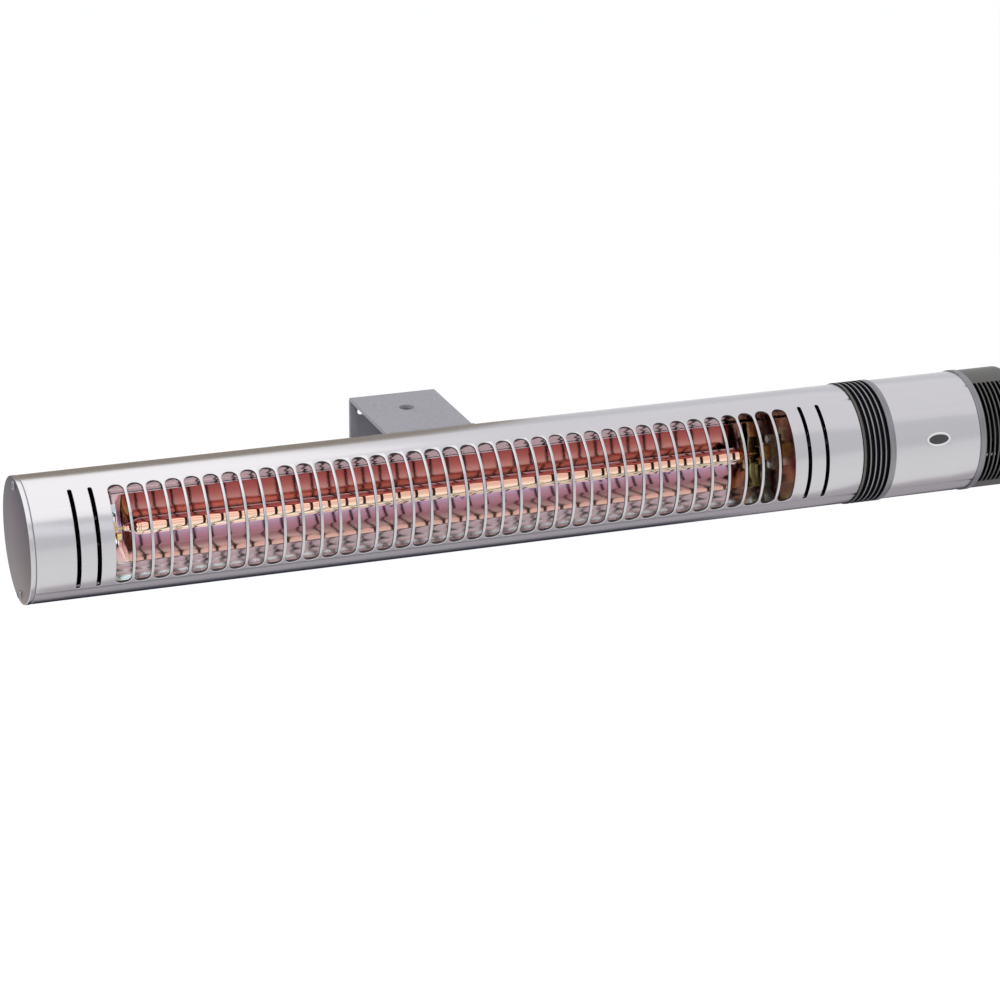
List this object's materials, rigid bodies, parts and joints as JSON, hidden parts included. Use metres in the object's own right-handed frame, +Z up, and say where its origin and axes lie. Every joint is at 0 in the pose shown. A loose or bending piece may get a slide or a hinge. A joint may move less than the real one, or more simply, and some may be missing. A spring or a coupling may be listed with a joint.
{
  "type": "electric bar heater",
  "caption": "Tubular wall heater with a slotted grille, a quartz lamp in a trough reflector, a finned ring and control housing, tilting in a short channel bracket.",
  "frame": {"origin": "middle of the bracket's back face, on the wall", "axes": "+X along the tube towards the control housing, +Y into the wall, +Z up"},
  "size_m": [0.7772, 0.1746, 0.0912],
  "materials": {
    "satin_aluminium": "satin anodised extrusion, fine lengthwise lines",
    "cap_grey": "smooth matte powder coat",
    "ring_dark": "semi-matte powder coat over machined fins",
    "bracket_grey": "matte powder coat",
    "polished": "polished reflector sheet",
    "zinc": "zinc-plated steel",
    "ruby_quartz": "ruby-coated quartz, glossy",
    "filament": "wound tungsten wire",
    "gilt_brass": "gilded brass",
    "ceramic_cream": "unglazed steatite",
    "bezel_white": "gloss moulding",
    "ir_window": "infrared-passing dark plastic",
    "black_plastic": "fine-grained moulding",
    "black_rubber": "smooth rubber",
    "silicone_wire": "braid-covered silicone lead",
    "board_green": "coated circuit board",
    "relay_blue": "gloss moulding",
    "white_nylon": "nylon moulding"
  },
  "bodies": {
    "bracket": {"wall_bracket": "bracket_grey", "bracket_saddle": "bracket_grey", "saddle_liner": "black_rubber", "clamp_shoe": "satin_aluminium", "clamp_bolts": "zinc", "clamp_washers": "zinc"},
    "heater": {"heater_tube": "satin_aluminium", "left_end_cap": "cap_grey", "left_cap_gasket": "black_rubber", "left_cap_screws": "zinc", "fin_ring": "ring_dark", "control_housing": "satin_aluminium", "housing_collar": "cap_grey", "vented_end_cap": "ring_dark", "tie_screws": "zinc", "receiver_bezel": "bezel_white", "receiver_lens": "ir_window", "reflector": "polished", "reflector_end_plates": "polished", "lamp_envelope": "ruby_quartz", "lamp_filament": "filament", "filament_supports": "filament", "lamp_terminals": "gilt_brass", "lamp_holders": "ceramic_cream", "holder_screws": "zinc", "heat_shield": "polished", "thermal_cutout": "ceramic_cream", "wire_grommet": "black_rubber", "left_lead_wire": "silicone_wire", "right_lead_wire": "silicone_wire", "control_tray": "zinc", "tray_screws": "zinc", "control_board": "board_green", "board_standoffs": "gilt_brass", "switching_relay": "relay_blue", "power_module": "black_plastic", "receiver_board": "board_green", "terminal_block": "white_nylon", "gland_body": "black_plastic", "gland_locknut": "black_plastic", "gland_seal": "black_rubber", "gland_dome_nut": "black_plastic"}
  },
  "joints": [
    {"name": "tilt", "type": "hinge", "parent": "bracket", "child": "heater", "pos_m": [0, -0.129, 0], "axis": [1, 0, 0], "range_deg": [-20, 55]}
  ]
}
